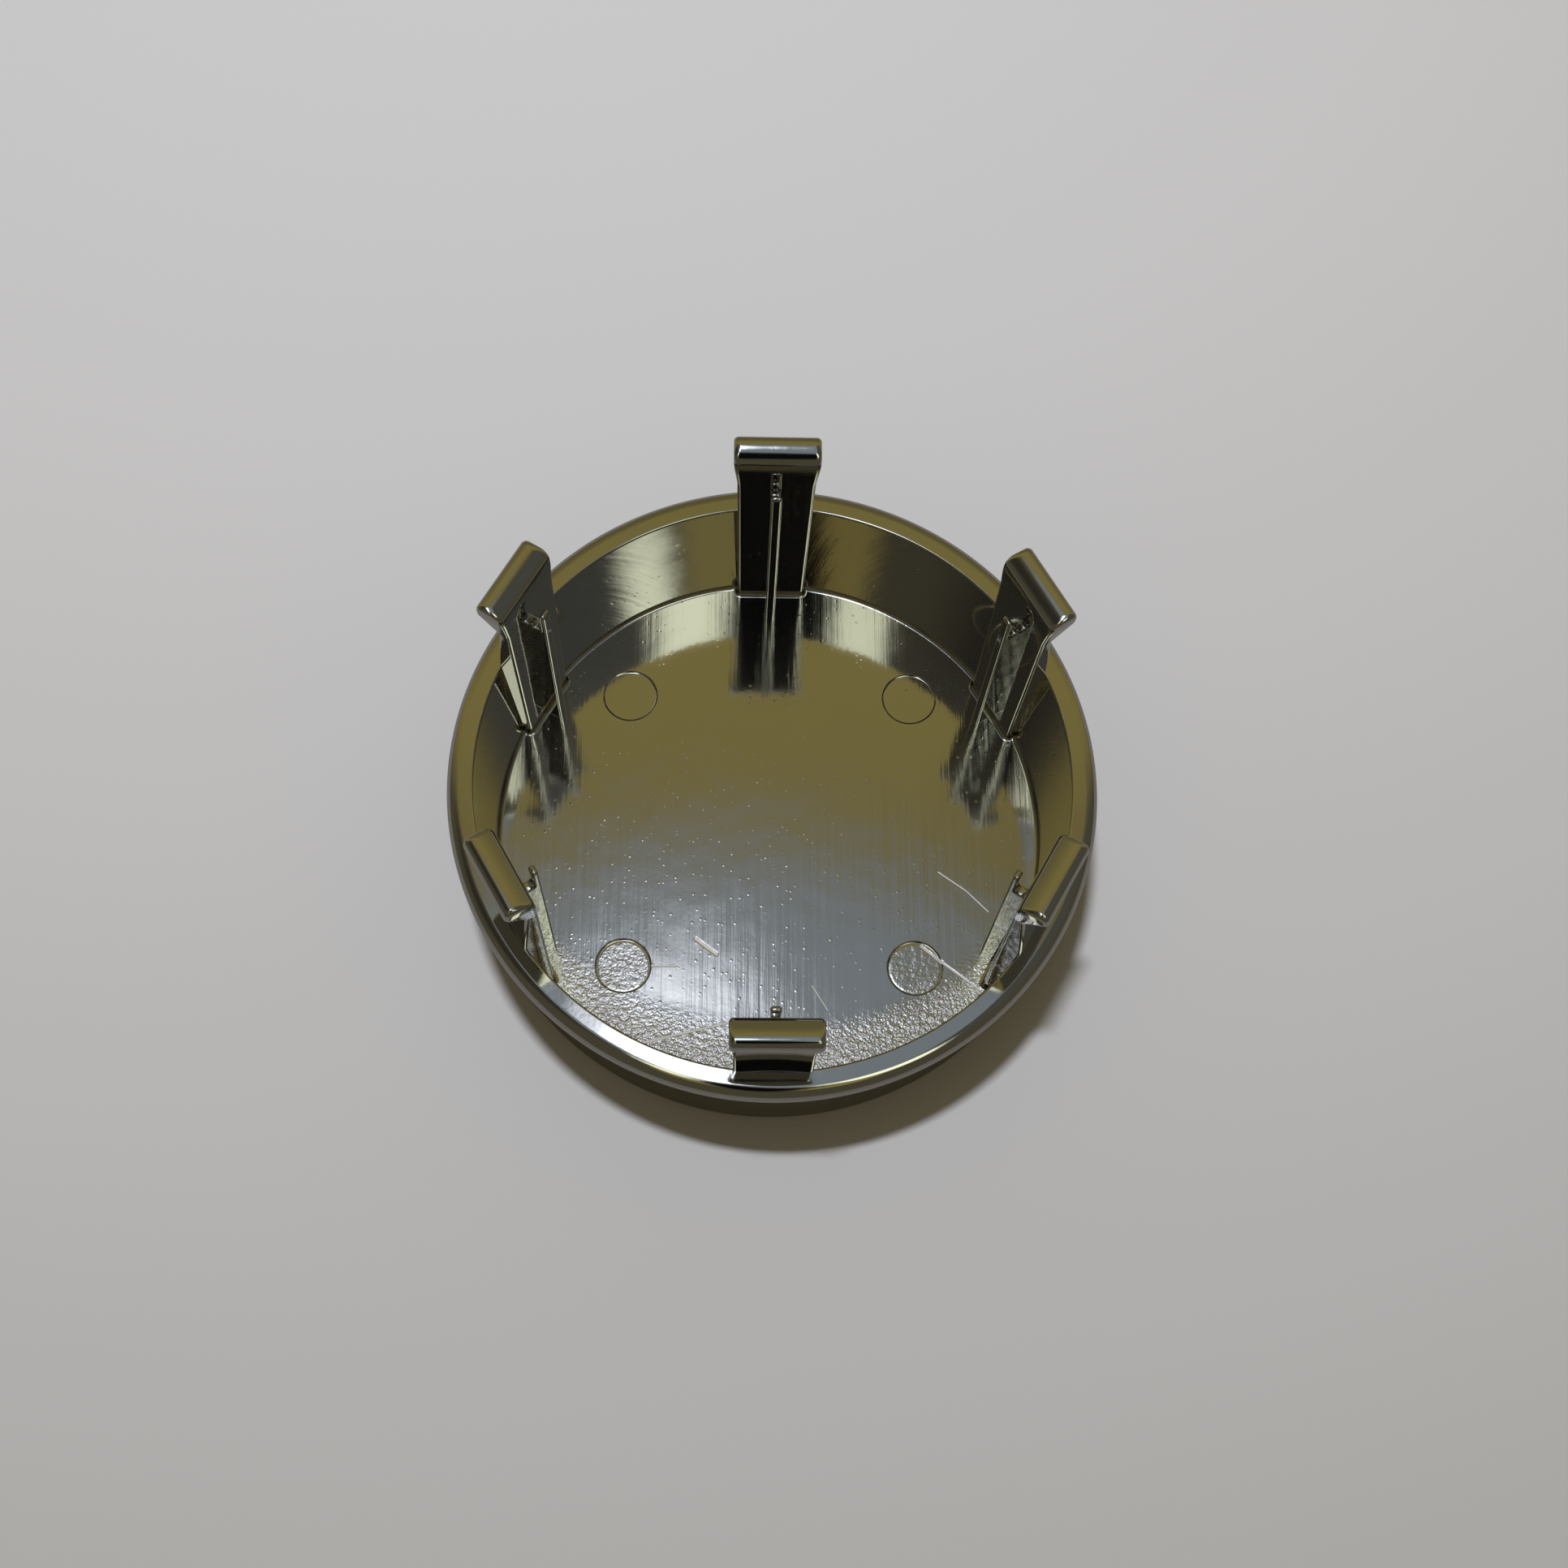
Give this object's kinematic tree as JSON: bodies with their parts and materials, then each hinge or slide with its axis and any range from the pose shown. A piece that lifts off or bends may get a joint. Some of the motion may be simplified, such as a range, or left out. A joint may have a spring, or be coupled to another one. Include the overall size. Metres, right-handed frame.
{
  "type": "hub nut cap",
  "caption": "Round chrome-plated hub nut cap: a deep smooth-faced cup whose open back carries a ring of hooked snap legs that clip it into a wheel hub.",
  "frame": {"origin": "centre of the flat front face, which lies on the ground as in the picture", "axes": "+Z along the cap's axis, from the front face to the open back and the leg tips; one leg stands on +Y"},
  "size_m": [0.06, 0.06, 0.0297],
  "materials": {
    "chrome_plating": "polished plating"
  },
  "bodies": {
    "root": {"hub_nut_cap": "chrome_plating"}
  },
  "joints": []
}
